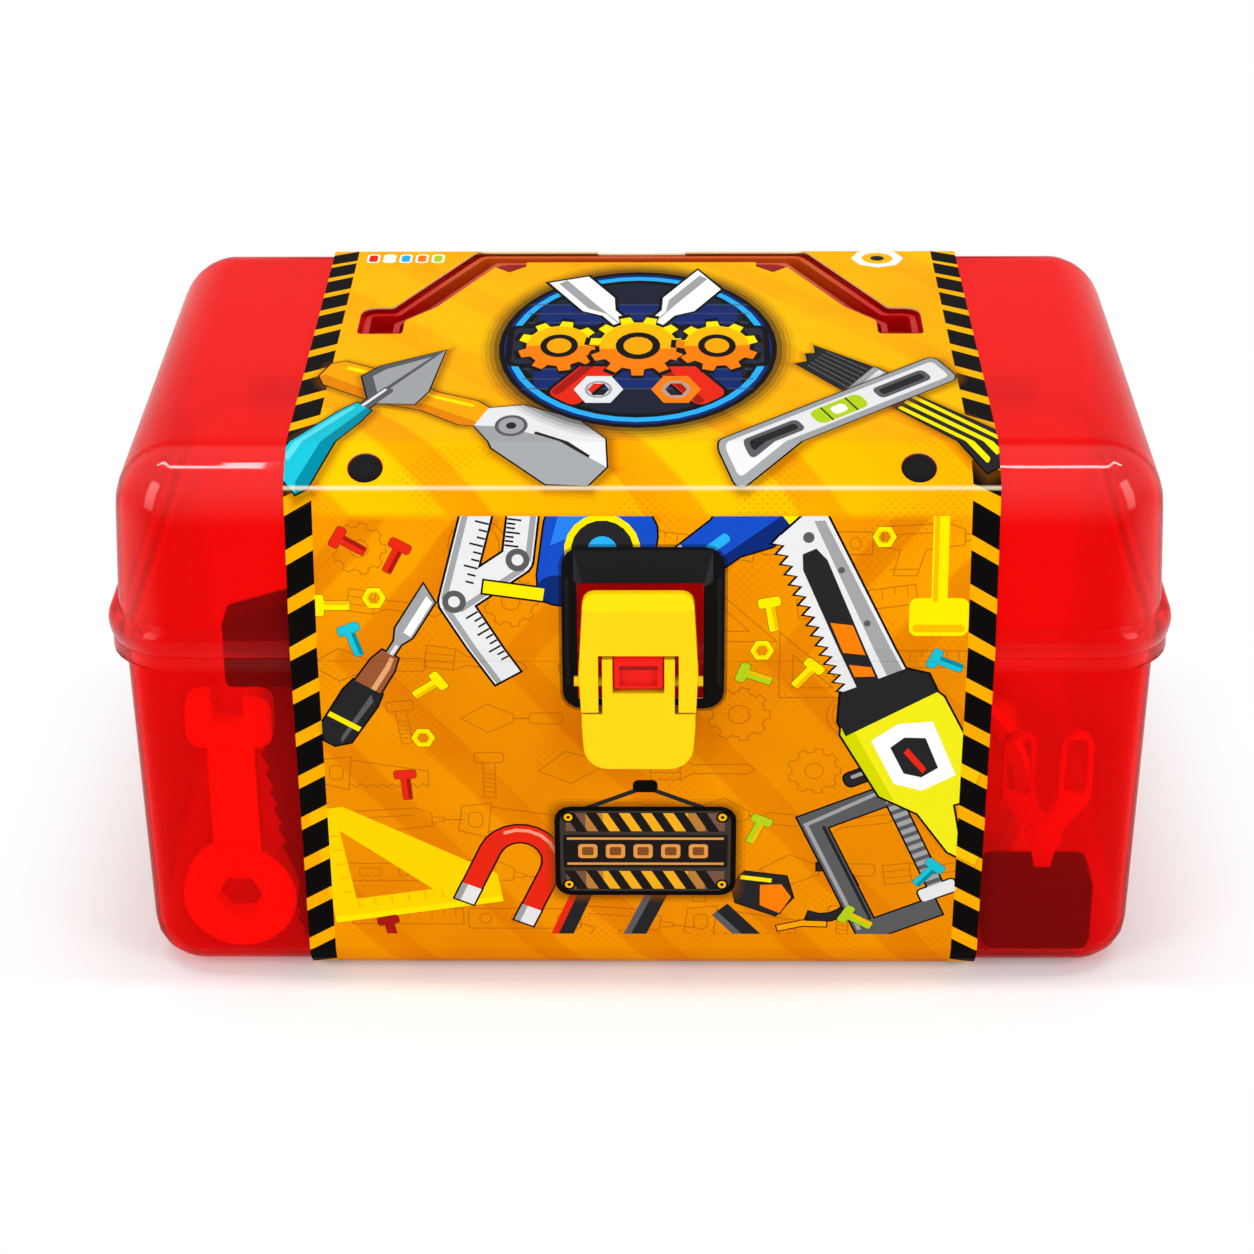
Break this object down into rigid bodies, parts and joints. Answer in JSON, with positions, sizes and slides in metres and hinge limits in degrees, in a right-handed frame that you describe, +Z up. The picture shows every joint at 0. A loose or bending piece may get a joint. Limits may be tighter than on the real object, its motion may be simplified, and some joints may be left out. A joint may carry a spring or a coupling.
{
  "type": "toy tool box",
  "caption": "Clear red plastic toy tool box with a hinged lid, fold-down carry handle, yellow draw latch, printed card sleeve and a set of plastic toy tools inside.",
  "frame": {"origin": "middle of the card sleeve's underside, where the box rests", "axes": "+X to the right seen from the front, +Y to the hinges at the back, +Z up; the latch faces -Y"},
  "size_m": [0.2722, 0.181, 0.1508],
  "materials": {
    "tub_red": "clear red polystyrene, glossy, slightly see-through",
    "lid_red": "clear red polystyrene, glossy, slightly see-through",
    "handle_red": "red moulded plastic, satin gloss",
    "hinge_steel": "plain steel wire",
    "sleeve_card": "printed and varnished card, orange and yellow",
    "plug_black": "black moulded plug",
    "lever_yellow": "yellow moulded plastic",
    "bail_yellow": "yellow moulded plastic",
    "latch_steel": "plain steel wire",
    "spanner_orange": "orange moulded toy plastic",
    "saw_blade_grey": "grey moulded toy plastic",
    "saw_grip_black": "black moulded toy plastic",
    "disc_orange": "orange moulded toy plastic",
    "hammer_head_black": "black moulded toy plastic",
    "hammer_stock_yellow": "yellow moulded toy plastic",
    "pliers_red": "red moulded toy plastic",
    "driver_shaft_grey": "grey moulded toy plastic",
    "driver_grip_orange": "orange moulded toy plastic",
    "bolt_black": "black moulded toy plastic",
    "nut_grey": "grey moulded toy plastic"
  },
  "bodies": {
    "tub": {"tub_shell": "tub_red", "hinge_pin_left": "hinge_steel", "hinge_pin_right": "hinge_steel", "sleeve_lower": "sleeve_card", "latch_pin": "latch_steel", "toy_spanner": "spanner_orange", "toy_saw_blade": "saw_blade_grey", "toy_saw_grip": "saw_grip_black", "toy_saw_disc": "disc_orange", "toy_hammer_head": "hammer_head_black", "toy_hammer_stock": "hammer_stock_yellow", "toy_pliers": "pliers_red", "toy_driver_shaft": "driver_shaft_grey", "toy_driver_grip": "driver_grip_orange", "toy_bolt_1": "bolt_black", "toy_bolt_2": "bolt_black", "toy_nut_1": "nut_grey", "toy_nut_2": "nut_grey"},
    "lid": {"lid_shell": "lid_red", "sleeve_upper": "sleeve_card", "card_plug_left": "plug_black", "card_plug_right": "plug_black"},
    "handle": {"carry_handle": "handle_red"},
    "lever": {"latch_lever": "lever_yellow"},
    "bail": {"latch_bail": "bail_yellow"}
  },
  "joints": [
    {"name": "lid_hinge", "type": "hinge", "parent": "tub", "child": "lid", "pos_m": [0, 0.088, 0.098], "axis": [-1, 0, 0], "range_deg": [0, 105]},
    {"name": "handle_hinge", "type": "hinge", "parent": "lid", "child": "handle", "pos_m": [0, 0.0089, 0.146], "axis": [1, 0, 0], "range_deg": [0, 90]},
    {"name": "latch_lever_hinge", "type": "hinge", "parent": "tub", "child": "lever", "pos_m": [0, -0.0873, 0.098], "axis": [-1, 0, 0], "range_deg": [0, 110]},
    {"name": "latch_bail_hinge", "type": "hinge", "parent": "lever", "child": "bail", "pos_m": [0, -0.0865, 0.0934], "axis": [1, 0, 0], "range_deg": [0, 110]}
  ],
  "couplings": [
    {"joint": "latch_bail_hinge", "follows": "latch_lever_hinge", "ratio": 1}
  ]
}
